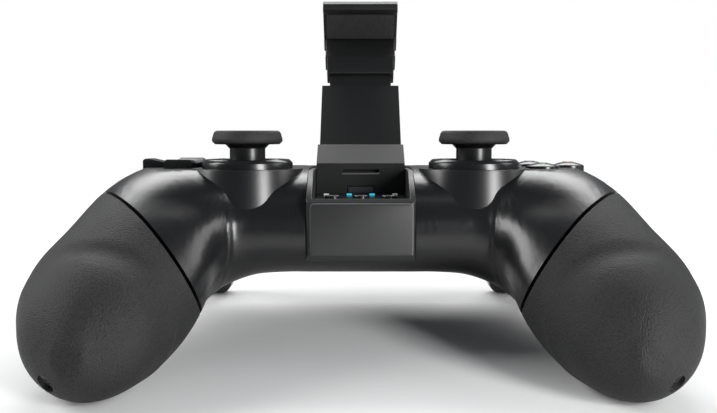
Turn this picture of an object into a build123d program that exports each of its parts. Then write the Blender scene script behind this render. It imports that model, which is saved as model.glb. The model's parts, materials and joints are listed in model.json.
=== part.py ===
"""Mobile game controller: two handles, two sticks, keys, triggers and a fold-out phone clamp.

Millimetres. X runs to the player's right, -Y to the player, +Z up. Everything is drawn with the deck level,
then each piece is handed over tipped back by the rest angle, so that the pad stands on its two handle ends
and its two trigger tips.
"""
import os
from math import cos, radians, sin

from build123d import *

os.makedirs("parts", exist_ok=True)

# How the pad stands
rest_angle = 5.693        # degrees, rear lower than when the deck is level
rest_lift = -5.079        # puts the lowest point on the ground
rest_back = -9.471        # middle of the depth on Y = 0

# Outer form
handle_spread = 65.6      # middle of the pad to the handle's widest middle line
handle_reach = 58.0       # how far the handles' ends come toward the player
spine_height = 37.0       # middle line of the housing
crown = 16.5              # housing above its middle line
belly = 13.5              # housing below its middle line
deck_height = 52.7        # flat top
parting_height = 31.7     # joint between upper and lower housing at the back
parting_front = -15.0     # from here the joint falls toward the player
wall = 2.0
overrun = 90.0            # length of any cutting block that runs clear of the housing

# Clearances
seam_gap = 0.9            # dark groove between housing and grip
fit_gap = 0.15            # between pieces of one body
slide_gap = 0.3           # round keys and other moving pieces
pin_gap = 0.05            # round a pin

# Stations of one half: front end and rear end across the pad and in depth, height of the middle line,
# height above and below it, as shares of handle spread, handle reach, spine height, crown and belly,
# and last how square the section is
station_shares = [
    (0.305, -0.345, 0.305, 0.834, 1.000, 1.000, 1.000, 2.70),
    (0.412, -0.345, 0.503, 0.824, 1.000, 1.018, 1.052, 2.65),
    (0.473, -0.350, 0.793, 0.710, 1.000, 1.091, 1.259, 2.50),
    (0.518, -0.376, 1.029, 0.431, 0.959, 1.176, 1.430, 2.35),
    (0.555, -0.443, 1.155, 0.034, 0.859, 1.188, 1.489, 2.25),
    (0.588, -0.552, 1.198, -0.328, 0.697, 1.145, 1.437, 2.20),
    (0.659, -0.698, 1.250, -0.614, 0.511, 1.091, 1.304, 2.10),
    (0.750, -0.878, 1.189, -0.834, 0.405, 0.873, 1.007, 2.00),
    (0.869, -0.969, 1.085, -0.945, 0.365, 0.545, 0.607, 2.00),
    (0.936, -1.007, 1.018, -0.993, 0.354, 0.206, 0.252, 2.00),
]
sections_between, stations_per_loft = 2, 6
section_points = 16

# Grip: seam plane with its housing, hollow core, screw
seam_x, seam_y, seam_z = 55.0, -19.5, 33.5
seam_normal_shares = (0.767, -0.439, -0.468)
core_root_x, core_root_y, core_root_z = 55.0, -14.0, 31.0
core_tip_x, core_tip_y, core_tip_z = 63.2, -44.0, 15.8
core_root_radius, core_tip_radius = 13.2, 10.6
screw_x, screw_y, screw_z = 69.4, -52.2, 7.8
screw_normal_shares = (0.53, -0.57, -0.63)
screw_radius, screw_head = 2.4, 1.2
screw_slot_width, screw_slot_depth = 0.7, 0.5

# Sticks
stick_x, stick_y = 31.0, -3.0
tower_radius, tower_top, tower_foot, tower_bore = 15.0, 52.9, 34.0, 11.0
ring_radius, ring_bore, ring_top, ring_chamfer = 12.35, 10.25, 55.4, 0.9
ring_depth, ring_seat, ring_inner_edge = 1.6, 0.02, 0.4
pivot_height = 44.0
cap_radius, cap_top, cap_bottom, cap_dish = 9.6, 63.2, 59.5, 0.9
cap_lip, cap_rim_step, cap_rim_high = 0.8, 0.4, 1.5
stem_radius, stem_flare, stem_low = 4.85, 1.2, 52.2
dome_outer, dome_inner, dome_edge = 9.8, 8.6, 4.5
frame_half, frame_hole, frame_thick = 4.9, 3.0, 2.4
shaft_half, shaft_step, axle_radius = 1.5, 1.5, 0.8
shaft_hub_half, shaft_hub_high = 2.1, 2.2
click_travel = 0.5
module_size, module_hollow, module_chamfer, module_drop = 16.0, 9.0, 1.0, 3.0
post_gap, post_out, post_wide, post_high, post_end_gap = 0.2, 7.0, 3.0, 4.5, 0.6

# Pods under the face buttons and the direction pad
pod_x, pod_y, pod_radius = 50.8, 11.8, 14.9
deck_wall = 2.1
ceiling_height = deck_height - deck_wall
sheet_drop, sheet_thick = 5.0, 0.7
sheet_bottom = ceiling_height - sheet_drop
cross_arm, cross_width, cross_proud, cross_gap = 11.6, 7.6, 2.5, 0.6
cross_top = deck_height + cross_proud
cross_flange, cross_flange_drop, cross_flange_thick, cross_edge = 12.0, 2.2, 1.0, 0.5
cross_dish_radius, cross_dish_depth = 32.6, 1.6
cross_ball_radius, cross_ball_gap = 2.0, 0.15
face_offset, face_radius, face_proud, face_shoulder = 9.4, 4.6, 1.6, 0.5
face_stem, face_flange, face_flange_drop, face_flange_gap = 3.0, 0.6, 1.2, 0.2
face_top, face_bottom = deck_height + face_proud, ceiling_height - face_stem

# Centre module with its panel, keys and lights
module_half, module_front, module_bottom, module_top = 14.1, -20.8, 29.6, 44.7
module_foot, module_front_edge, module_corner = -2.2, 1.6, 1.2
module_rear, channel_rear = 17.0, 17.2
cheek_thick, cheek_top, cheek_lean, cheek_back = 1.5, 52.5, 12.2, 12.5
cheek_drop, cheek_step, cheek_step_high = 5.0, 2.0, 1.8
panel_rear, panel_thick, panel_rise, panel_gap, panel_inset = 1.0, 1.2, 1.0, 0.1, 1.2
panel_room, bed_step, bed_end = 0.4, 2.0, 4.6
tray_front, tray_deep, tray_high, tray_rib, tray_middle = 3.3, 13.0, 12.6, 2.0, 38.0
key_row_y, key_pitch, key_radius, key_gap = -8.6, 7.6, 2.1, 0.25
key_sink, key_high, key_flange, key_flange_thick, key_flange_drop, key_edge = 2.6, 3.8, 0.9, 1.0, 0.2, 0.4
light_row_y, light_pitch, light_long, light_deep, light_high, light_z = -2.4, 6.3, 1.4, 1.0, 0.9, 46.0

# Channel that the folded clamp lies over
channel_half, channel_floor = 13.1, 39.4
bed_front, bed_rear, bed_foot, bed_thick = -15.0, 46.0, 29.0, 2.0

# Clamp, along its arm from the hinge and out from it toward the player
hinge_y, hinge_z = 10.0, 47.0
recline = 45.0            # degrees from upright
clamp_half = 12.4
pin_radius, knuckle_radius, pin_shy = 1.5, 4.9, 0.5
plate_front, plate_back, plate_top, plate_taper = -2.7, -7.2, 46.6, 1.2
lip_low_along, lip_low_out = -6.1, 3.8
lip_tip_along, lip_tip_out = 0.07, 9.97
lip_end_along, lip_end_out = 10.1, 7.3
lip_thick_out, seat_along = 6.0, 5.0
heel_along, heel_out, heel_edge = -4.2, -2.6, 1.0
tongue_half, tongue_front, tongue_back, tongue_low, tongue_tuck = 10.0, -3.9, -6.2, 10.3, 8.0
tongue_slot_low, tongue_slot_gap = 4.2, 0.2
slot_long, slot_deep, slot_high, slot_y, slot_z = 10.4, 4.0, 0.9, 3.0, 51.9
catch_long, catch_high, catch_y, catch_z, catch_proud, catch_deep = 7.2, 1.9, 3.0, 46.6, 0.1, 2.0
catch_gap, catch_travel = 0.2, 1.2
jaw_low, jaw_grip, jaw_top = 53.0, 70.5, 74.6
jaw_back, jaw_neck_out, jaw_swell_out, jaw_waist_out = -7.6, -2.9, -1.6, -2.6
jaw_neck_along, jaw_swell_along, jaw_waist_along = 2.4, 7.0, 9.0
jaw_lip_out, jaw_hook_out, jaw_nose_out, jaw_step = 7.8, 10.2, 11.2, 0.9
jaw_nose_along, jaw_back_edge = 0.6, 2.0
neck_half, neck_along, shoulder_half = 11.0, 6.5, 11.7
pad_thick, pad_edge, pad_seat = 0.9, 1.0, 0.05
spring_outer, spring_inner, spring_long = 1.15, 0.6, 10.0

# Shoulder keys and triggers
shoulder_in, shoulder_out, shoulder_wall, shoulder_top = 41.2, 58.6, 29.2, 48.5
shoulder_gap = 0.4
trigger_pivot_y, trigger_pivot_z, trigger_pin, pin_bite = 32.0, 31.0, 1.2, 1.0
bumper_bottom, bumper_stand = 38.6, 2.4
trigger_front_y, trigger_root_high, trigger_root_low = 30.4, 38.0, 28.6
trigger_root_step, trigger_root_front = 4.6, 34.0
trigger_rear_y, trigger_knee_y, trigger_knee_z = 42.6, 46.6, 29.0
trigger_tip_y, trigger_tip_z, trigger_tip_deep = 49.6, 9.8, 6.2
trigger_waist_z, trigger_waist_rear, trigger_waist_front = 18.0, 48.2, 41.6
trigger_bend_y, trigger_bend_z = 37.0, 25.6
trigger_edge, trigger_tip_round, trigger_narrow, trigger_narrow_z = 2.2, 4.4, 1.0, 24.0
leaf_thick, leaf_y, leaf_low, leaf_high, leaf_bulge, leaf_wide = 0.25, 29.25, 28.0, 33.4, 0.5, 4.0

# Board, battery and charging socket
board_bottom, board_thick, board_y, board_deep, board_margin = 33.0, 1.6, 14.0, 50.0, 6.0
board_notch_long, board_notch_deep, board_notch_y = 30.0, 20.0, -11.0
board_top = board_bottom + board_thick
battery_long, battery_deep, battery_thick, battery_y, battery_edge = 42.0, 26.0, 4.6, 16.0, 1.6
port_width, port_height, port_deep, port_wall, port_edge = 7.6, 2.7, 6.0, 0.35, 0.9
port_x, port_y = 27.0, 40.6
port_z = board_top + port_height / 2

# Inside of the housing
cavity_front, cavity_low, cavity_rear = -13.0, 30.0, 44.5
cavity_step_z, cavity_slope_y, cavity_slope_z, cavity_top_front, cavity_top_rear = 41.5, -5.0, 47.5, 6.0, 39.0
cavity_rear_top, cavity_rear_low, cavity_floor, cavity_floor_rear = 45.0, 31.0, 26.4, 38.0
cavity_bed_rear = 44.0


def between(before, start, end, after, share):
    """Row of station values on a smooth curve from one station to the next."""
    return tuple(
        (2 * b + (c - a) * share + (2 * a - 5 * b + 4 * c - d) * share ** 2
         + (3 * b - a - 3 * c + d) * share ** 3) / 2
        for a, b, c, d in zip(before, start, end, after)
    )


def filled_stations(rows):
    """All stations with the in-between ones that keep the surface even."""
    lead = tuple(2 * a - b for a, b in zip(rows[0], rows[1]))
    tail = tuple(2 * a - b for a, b in zip(rows[-1], rows[-2]))
    line = [lead, *rows, tail]
    filled = []
    for place in range(1, len(line) - 2):
        for step in range(sections_between):
            filled.append(between(*line[place - 1:place + 3], step / sections_between))
    return [*filled, rows[-1]]


def section_plane(station):
    """Upright plane across the form at one station, its X axis level and its normal along the form."""
    front = Vector(station[0] * handle_spread, station[1] * handle_reach, station[4] * spine_height)
    rear = Vector(station[2] * handle_spread, station[3] * handle_reach, station[4] * spine_height)
    across = (rear - front).normalized()
    return Plane(origin=(front + rear) / 2, x_dir=across, z_dir=(across.Y, -across.X, 0))


def rounded_outline(station):
    """Points round an egg-like outline whose upper and lower halves differ in height."""
    breadth = Vector((station[2] - station[0]) * handle_spread, (station[3] - station[1]) * handle_reach)
    half_width = breadth.length / 2
    half_up, half_down, squareness = station[5] * crown, station[6] * belly, station[7]
    points = []
    for step in range(section_points):
        turn = radians(step * 360 / section_points)
        across = abs(cos(turn)) ** (2 / squareness) * half_width
        rise = abs(sin(turn)) ** (2 / squareness)
        across = across if cos(turn) >= 0 else -across
        points.append((across, rise * half_up if sin(turn) >= 0 else -rise * half_down))
    return points


def clamp_point(along, out):
    """Y and Z of a point given along the clamp's arm and out from its hinge toward the player."""
    lean = radians(recline)
    return (hinge_y + along * sin(lean) - out * cos(lean), hinge_z + along * cos(lean) + out * sin(lean))


def side_profile(points):
    """Flat face through the given points, to be placed by the sketch that adds it."""
    with BuildSketch(Plane.XY) as profile:
        with BuildLine():
            Polyline(*points, close=True)
        make_face()
    return profile.sketch


def placed(body, x, y):
    """Copy of a piece drawn at the middle, moved to its place in the plan."""
    with BuildPart(mode=Mode.PRIVATE) as moved:
        with Locations((x, y)):
            add(body)
    return moved.part


def handed(name, body):
    """Tip a finished piece back to the way the pad stands and write its file."""
    with BuildPart() as resting:
        with Locations((0, rest_back, rest_lift)):
            add(body, rotation=(-rest_angle, 0, 0))
    resting.part.label = name
    export_step(resting.part, f"parts/{name}.step")


def both_ways(name, body):
    """Hand over a piece drawn on the right and its mirror image on the left."""
    handed(f"{name}_right", body)
    handed(f"{name}_left", mirror(body, about=Plane.YZ))


seam_plane = Plane(origin=(seam_x, seam_y, seam_z), z_dir=seam_normal_shares)
standing = (Align.CENTER, Align.CENTER, Align.MIN)

# Outer form: one half lofted through its stations in joined lengths and carried to the middle
stations = filled_stations(station_shares)
with BuildPart() as half_form:
    for start in range(0, len(stations) - 1, stations_per_loft):
        for station in stations[start:start + stations_per_loft + 1]:
            with BuildSketch(section_plane(station)):
                with BuildLine():
                    Spline(*rounded_outline(station), periodic=True)
                make_face()
        loft()
    with BuildSketch(section_plane(stations[0])):
        with BuildLine():
            Spline(*rounded_outline(stations[0]), periodic=True)
        make_face()
    extrude(amount=-stations[0][0] * handle_spread)
    split(bisect_by=Plane.XY.offset(deck_height), keep=Keep.BOTTOM)

# Grip over the handle's end, hollow inside, with a sunk screw
core_root = Vector(core_root_x, core_root_y, core_root_z)
core_tip = Vector(core_tip_x, core_tip_y, core_tip_z)
handle_axis = Plane(origin=core_root, z_dir=(core_tip - core_root))
handle_length = (core_tip - core_root).length
screw_plane = Plane(origin=(screw_x, screw_y, screw_z), z_dir=screw_normal_shares)
with BuildPart() as grip:
    add(half_form.part)
    split(bisect_by=seam_plane.offset(seam_gap / 2), keep=Keep.TOP)
    with BuildSketch(handle_axis.offset(-wall)):
        Circle(core_root_radius)
    with BuildSketch(handle_axis.offset(handle_length)):
        Circle(core_tip_radius)
    loft(mode=Mode.SUBTRACT)
    with BuildSketch(screw_plane):
        Circle(screw_radius)
    extrude(amount=overrun, mode=Mode.SUBTRACT)
both_ways("grip", grip.part)

# Housing: outer form up to the seam, stick towers and the tubes inside the handles
with BuildPart() as housing_half:
    add(half_form.part)
    with Locations((stick_x, stick_y, tower_foot)):
        Cylinder(tower_radius, tower_top - tower_foot, align=standing)
    split(bisect_by=seam_plane.offset(-seam_gap / 2), keep=Keep.BOTTOM)
    with BuildSketch(handle_axis.offset(-wall)):
        Circle(core_root_radius - fit_gap)
    with BuildSketch(handle_axis.offset(handle_length - wall)):
        Circle(core_tip_radius - fit_gap)
    loft()
    with BuildSketch(handle_axis.offset(wall)):
        Circle(core_root_radius - wall - fit_gap)
    with BuildSketch(handle_axis.offset(handle_length - wall * 2)):
        Circle(core_tip_radius - wall - fit_gap)
    loft(mode=Mode.SUBTRACT)

# Room inside for the board, the keys and the sticks
cavity_points = [
    (cavity_front, cavity_low), (cavity_front, cavity_step_z), (cavity_slope_y, cavity_slope_z),
    (cavity_top_front, ceiling_height), (cavity_top_rear, ceiling_height), (cavity_rear, cavity_rear_top),
    (cavity_rear, cavity_rear_low), (cavity_floor_rear, cavity_floor), (cavity_slope_y, cavity_floor),
]
with BuildPart() as cavity:
    with BuildSketch(Plane.YZ):
        add(side_profile(cavity_points))
    extrude(amount=stick_x + wall * 2)
    with Locations((pod_x, pod_y, board_bottom)):
        Cylinder(pod_radius, ceiling_height - board_bottom, align=standing)
    with Locations((stick_x, stick_y, board_bottom)):
        Cylinder(tower_bore, deck_height - board_bottom + wall, align=standing)

with BuildPart() as face_wells:
    with Locations((pod_x, pod_y, ceiling_height)):
        with PolarLocations(face_offset, 4):
            Cylinder(face_radius + slide_gap, wall * 3)

with BuildPart() as cross_well:
    with Locations((-pod_x, pod_y, ceiling_height)):
        Box(cross_arm * 2 + cross_gap * 2, cross_width + cross_gap * 2, wall * 3)
        Box(cross_width + cross_gap * 2, cross_arm * 2 + cross_gap * 2, wall * 3)

shoulder_middle = (shoulder_in + shoulder_out) / 2
shoulder_width = shoulder_out - shoulder_in
with BuildPart() as shoulder_recess:
    with BuildSketch(Plane.XY):
        with Locations((shoulder_middle, shoulder_wall)):
            Rectangle(shoulder_width, overrun, align=(Align.CENTER, Align.MIN))
    extrude(amount=shoulder_top)

module_slot_points = [
    (-overrun, module_bottom - fit_gap), (-overrun, overrun), (channel_rear, overrun),
    (channel_rear, channel_floor), (module_foot + slide_gap, channel_floor),
    (module_foot + slide_gap, module_bottom - fit_gap),
]
with BuildPart() as centre_cuts:
    with BuildSketch(Plane.YZ):
        add(side_profile(module_slot_points))
    extrude(amount=module_half + fit_gap, both=True)
    with Locations((0, 0, channel_floor)):
        Box(channel_half * 2, overrun, overrun, align=(Align.CENTER, Align.MIN, Align.MIN))

with BuildPart() as right_half:
    add(housing_half.part)
    add(cavity.part, mode=Mode.SUBTRACT)
    add(shoulder_recess.part, mode=Mode.SUBTRACT)
    with Locations((shoulder_middle, trigger_pivot_y, trigger_pivot_z)):
        Cylinder(trigger_pin + pin_gap, shoulder_width + (pin_bite + fit_gap) * 2, rotation=(0, 90, 0),
                 mode=Mode.SUBTRACT)

bed_points = [
    (bed_front, bed_foot), (bed_front, channel_floor), (bed_rear, channel_floor), (bed_rear, bed_foot),
]
under_bed_points = [
    (cavity_front, cavity_floor), (cavity_front, channel_floor - bed_thick),
    (cavity_bed_rear, channel_floor - bed_thick), (cavity_bed_rear, cavity_rear_low),
    (cavity_floor_rear, cavity_floor),
]
with BuildPart() as channel_bed:
    with BuildSketch(Plane.YZ):
        add(side_profile(bed_points))
    extrude(amount=channel_half + wall * 2, both=True)
    with BuildSketch(Plane.YZ):
        add(side_profile(under_bed_points))
    extrude(amount=channel_half + wall * 3, both=True, mode=Mode.SUBTRACT)

with BuildPart() as housing:
    add(right_half.part)
    add(mirror(right_half.part, about=Plane.YZ, mode=Mode.PRIVATE))
    add(channel_bed.part)
    add(centre_cuts.part, mode=Mode.SUBTRACT)
    add(face_wells.part, mode=Mode.SUBTRACT)
    add(cross_well.part, mode=Mode.SUBTRACT)
    with Locations((port_x, port_y, port_z)):
        Box(port_width + slide_gap * 2, overrun, port_height + slide_gap * 2,
            align=(Align.CENTER, Align.MIN, Align.CENTER), mode=Mode.SUBTRACT)

# The housing parts along a line that is level behind and falls toward the player
parting_points = [
    (parting_front, parting_height), (overrun, parting_height), (overrun, overrun), (-overrun, overrun),
    (-overrun, parting_height - overrun / 2),
]
with BuildPart() as upper_side:
    with BuildSketch(Plane.YZ):
        add(side_profile(parting_points))
    extrude(amount=overrun, both=True)

with BuildPart() as shell_top:
    add(housing.part)
    add(upper_side.part, mode=Mode.INTERSECT)
handed("shell_top", shell_top.part)

with BuildPart() as shell_bottom:
    add(housing.part)
    add(upper_side.part, mode=Mode.SUBTRACT)
handed("shell_bottom", shell_bottom.part)

# Board, battery, charging socket, key boards and contact sheets
with BuildPart() as main_board:
    with BuildSketch(Plane.XY.offset(board_bottom)):
        with Locations((0, board_y)):
            Rectangle(stick_x * 2 + board_margin, board_deep)
        with Locations((stick_x, stick_y), (-stick_x, stick_y)):
            Circle(tower_bore - slide_gap)
        with Locations((0, board_notch_y)):
            Rectangle(board_notch_long, board_notch_deep, mode=Mode.SUBTRACT)
    extrude(amount=board_thick)
handed("main_board", main_board.part)

with BuildPart() as battery:
    with Locations((0, battery_y, board_bottom - fit_gap - battery_thick / 2)):
        Box(battery_long, battery_deep, battery_thick)
    fillet(battery.edges().filter_by(Axis.Z), battery_edge)
handed("battery", battery.part)

with BuildPart() as charging_port:
    with Locations((port_x, port_y, port_z)):
        Box(port_width, port_deep, port_height)
    fillet(charging_port.edges().filter_by(Axis.Y), port_edge)
    with Locations((port_x, port_y + port_wall, port_z)):
        Box(port_width - port_wall * 2, port_deep, port_height - port_wall * 2, mode=Mode.SUBTRACT)
    with Locations((port_x, port_y, port_z)):
        Box(port_width - port_wall * 6, port_deep - port_wall, port_wall * 2)
handed("charging_port", charging_port.part)

with BuildPart() as key_board:
    with Locations((pod_x, pod_y, sheet_bottom - board_thick)):
        Cylinder(pod_radius - slide_gap, board_thick, align=standing)
both_ways("key_board", key_board.part)

with BuildPart() as contact_sheet:
    with Locations((pod_x, pod_y, sheet_bottom)):
        Cylinder(pod_radius - wall / 2, sheet_thick, align=standing)
both_ways("contact_sheet", contact_sheet.part)

# Face buttons: a domed stem with a flange that keeps it under the deck
face_rim = deck_height + face_shoulder
flange_low, flange_high = ceiling_height - face_flange_drop, ceiling_height - face_flange_gap
with BuildPart() as face_button:
    with BuildSketch(Plane.XZ):
        with BuildLine():
            Polyline(
                (0, face_bottom), (face_radius, face_bottom), (face_radius, flange_low),
                (face_radius + face_flange, flange_low), (face_radius + face_flange, flange_high),
                (face_radius, flange_high), (face_radius, face_rim),
            )
            TangentArc((0, face_top), (face_radius, face_rim), tangent=(1, 0))
            Line((0, face_top), (0, face_bottom))
        make_face()
    revolve(axis=Axis.Z)
for name, turn in (("east", 0), ("north", 90), ("west", 180), ("south", 270)):
    across = pod_x + face_offset * cos(radians(turn))
    handed(f"button_{name}", placed(face_button.part, across, pod_y + face_offset * sin(radians(turn))))

# Direction pad, dished on top, rocking on a ball
ball_height = sheet_bottom + sheet_thick + pin_gap + cross_ball_radius
cross_root = ceiling_height - cross_flange_drop + cross_flange_thick - cross_gap / 3
with BuildPart() as d_pad:
    with Locations((-pod_x, pod_y, ceiling_height - cross_flange_drop)):
        Cylinder(cross_flange, cross_flange_thick, align=standing)
    with BuildSketch(Plane.XY.offset(cross_root)):
        with Locations((-pod_x, pod_y)):
            Rectangle(cross_arm * 2, cross_width)
            Rectangle(cross_width, cross_arm * 2)
    extrude(amount=cross_top - cross_root)
    chamfer(d_pad.edges().group_by(Axis.Z)[-1], cross_edge)
    with Locations((-pod_x, pod_y, cross_top + cross_dish_radius - cross_dish_depth)):
        Sphere(cross_dish_radius, mode=Mode.SUBTRACT)
    with Locations((-pod_x, pod_y, ball_height)):
        Sphere(cross_ball_radius + cross_ball_gap, mode=Mode.SUBTRACT)
handed("d_pad", d_pad.part)

with BuildPart() as d_pad_pivot:
    with Locations((-pod_x, pod_y, ball_height)):
        Sphere(cross_ball_radius)
handed("d_pad_pivot", d_pad_pivot.part)

# Sticks: ring, module with its posts, rocker, shaft and cap
ring_foot = tower_top - ring_depth
with BuildPart() as stick_ring:
    with BuildSketch(Plane.XZ):
        with BuildLine():
            Polyline(
                (ring_bore, ring_foot), (tower_bore - fit_gap, ring_foot),
                (tower_bore - fit_gap, tower_top + ring_seat), (ring_radius, tower_top + ring_seat),
                (ring_radius, ring_top - ring_chamfer), (ring_radius - ring_chamfer, ring_top),
                (ring_bore + ring_inner_edge, ring_top), (ring_bore, ring_top - ring_inner_edge), close=True,
            )
        make_face()
    revolve(axis=Axis.Z)
both_ways("stick_ring", placed(stick_ring.part, stick_x, stick_y))

module_head = pivot_height - module_drop
post_in = frame_half + post_gap
with BuildPart() as stick_module:
    with Locations((0, 0, board_top)):
        Box(module_size, module_size, module_head - board_top, align=standing)
    chamfer(stick_module.edges().filter_by(Axis.Z), module_chamfer)
    with Locations((0, 0, board_top + wall / 2)):
        Box(module_hollow, module_hollow, overrun, align=standing, mode=Mode.SUBTRACT)
    for side in (-1, 1):
        with Locations((side * (post_in + post_out) / 2, 0, module_head)):
            Box(post_out - post_in, post_wide, post_high, align=standing)
    with Locations((0, 0, pivot_height)):
        Cylinder(axle_radius + pin_gap, module_size, rotation=(0, 90, 0), mode=Mode.SUBTRACT)
both_ways("stick_module", placed(stick_module.part, stick_x, stick_y))

rocker_axle = post_out - post_end_gap - frame_half
with BuildPart() as stick_rocker:
    with Locations((0, 0, pivot_height)):
        Box(frame_half * 2, frame_half * 2, frame_thick)
        Box(frame_hole * 2, frame_hole * 2, frame_thick, mode=Mode.SUBTRACT)
        for side in (-1, 1):
            with Locations((side * (frame_half + rocker_axle / 2), 0, 0)):
                Cylinder(axle_radius, rocker_axle, rotation=(0, 90, 0))
        for side in (-1, 1):
            with Locations((0, side * (frame_half + frame_hole) / 2, 0)):
                Cylinder(axle_radius + pin_gap, frame_half - frame_hole, rotation=(90, 0, 0), mode=Mode.SUBTRACT)
both_ways("stick_rocker", placed(stick_rocker.part, stick_x, stick_y))

shaft_top = cap_bottom - shaft_step
with BuildPart() as stick_shaft:
    with Locations((0, 0, pivot_height)):
        Box(shaft_hub_half * 2, (frame_hole - pin_gap * 2) * 2, shaft_hub_high)
        Cylinder(axle_radius, (frame_half - post_gap) * 2, rotation=(90, 0, 0))
        Box(shaft_half * 2, shaft_half * 2, shaft_top - pivot_height, align=standing)
both_ways("stick_shaft", placed(stick_shaft.part, stick_x, stick_y))

cap_rim = cap_radius - cap_rim_step
rim_turn = cap_rim - cap_dish * 1.5
with BuildPart() as stick_cap:
    with BuildSketch(Plane.XZ):
        with BuildLine():
            Polyline(
                (0, stem_low), (stem_radius, stem_low), (stem_radius, cap_bottom - stem_flare),
                (stem_radius + stem_flare, cap_bottom), (cap_radius - cap_lip, cap_bottom),
                (cap_radius, cap_bottom + cap_lip), (cap_radius, cap_bottom + cap_rim_high),
                (cap_rim, cap_top - cap_dish),
            )
            ThreePointArc((cap_rim, cap_top - cap_dish), (cap_rim - cap_dish / 2, cap_top - cap_dish / 4),
                          (rim_turn, cap_top))
            TangentArc((0, cap_top - cap_dish), (rim_turn, cap_top), tangent=(1, 0))
            Line((0, cap_top - cap_dish), (0, stem_low))
        make_face()
    revolve(axis=Axis.Z)
    with BuildSketch(Plane.XZ):
        with Locations((0, pivot_height)):
            Circle(dome_outer)
            Circle(dome_inner, mode=Mode.SUBTRACT)
        with Locations((0, pivot_height + dome_edge)):
            Rectangle(overrun, overrun, align=(Align.CENTER, Align.MAX), mode=Mode.SUBTRACT)
        with Locations((0, 0)):
            Rectangle(overrun, overrun * 2, align=(Align.MAX, Align.CENTER), mode=Mode.SUBTRACT)
    revolve(axis=Axis.Z)
    with Locations((0, 0, shaft_top + click_travel + post_gap)):
        Box((shaft_half + pin_gap * 2) * 2, (shaft_half + pin_gap * 2) * 2, overrun,
            align=(Align.CENTER, Align.CENTER, Align.MAX), mode=Mode.SUBTRACT)
both_ways("stick_cap", placed(stick_cap.part, stick_x, stick_y))

# Centre module: a tray in front of the channel, with two cheeks that carry the clamp's pin
module_points = [
    (module_front, module_bottom + module_front_edge), (module_front + module_front_edge, module_bottom),
    (module_foot, module_bottom), (module_foot, channel_floor + fit_gap), (module_rear, channel_floor + fit_gap),
    (module_rear, cheek_top - cheek_drop), (cheek_back, cheek_top), (module_front + cheek_lean, cheek_top),
    (module_front + cheek_step, module_top + cheek_step_high), (module_front, module_top),
]
tray_points = [
    (module_front + panel_inset, module_top - panel_thick - panel_gap),
    (panel_rear + panel_room, module_top - panel_thick - panel_gap + panel_rise),
    (panel_rear + panel_room, channel_floor + bed_step), (bed_end, channel_floor + bed_step),
    (bed_end, channel_floor), (module_rear + wall, channel_floor), (module_rear + wall, overrun),
    (module_front + panel_inset, overrun),
]
with BuildPart() as centre_module:
    with BuildSketch(Plane.YZ):
        add(side_profile(module_points))
    extrude(amount=module_half, both=True)
    fillet(centre_module.edges().filter_by(Axis.Z).group_by(Axis.Y)[0], module_corner)
    with BuildSketch(Plane.YZ):
        add(side_profile(tray_points))
    extrude(amount=module_half - cheek_thick, both=True, mode=Mode.SUBTRACT)
    with Locations((0, module_front + tray_front + tray_deep / 2, tray_middle)):
        Box((module_half - tray_rib) * 2, tray_deep, tray_high, mode=Mode.SUBTRACT)
    with Locations((0, hinge_y, hinge_z)):
        Cylinder(pin_radius, (module_half - panel_room) * 2, rotation=(0, 90, 0), mode=Mode.SUBTRACT)
handed("centre_module", centre_module.part)

panel_front = module_front + panel_inset + panel_gap
panel_points = [
    (panel_front, module_top - panel_thick), (panel_front, module_top), (panel_rear, module_top + panel_rise),
    (panel_rear, module_top - panel_thick + panel_rise),
]
key_spots = [(-key_pitch, key_row_y), (0, key_row_y), (key_pitch, key_row_y)]
with BuildPart() as panel_plate:
    with BuildSketch(Plane.YZ):
        add(side_profile(panel_points))
    extrude(amount=module_half - cheek_thick - panel_gap, both=True)
    with Locations(*[(x, y, module_top) for x, y in key_spots]):
        Cylinder(key_radius + key_gap, wall * 3, mode=Mode.SUBTRACT)
handed("panel_plate", panel_plate.part)

with BuildPart() as panel_key:
    with Locations((0, 0, module_top - key_sink)):
        Cylinder(key_radius, key_high, align=standing)
    with Locations((0, 0, module_top - key_sink - key_flange_drop)):
        Cylinder(key_radius + key_flange, key_flange_thick, align=standing)
    fillet(panel_key.edges().group_by(Axis.Z)[-1], key_edge)
for name, (x, y) in zip(("left", "home", "right"), key_spots):
    handed(f"key_{name}", placed(panel_key.part, x, y))

light_shares = (-1.5, -0.5, 0.5, 1.5)
with BuildPart() as panel_lights:
    with Locations(*[(share * light_pitch, light_row_y, light_z) for share in light_shares]):
        Box(light_long, light_deep, light_high)
handed("panel_lights", panel_lights.part)

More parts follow.
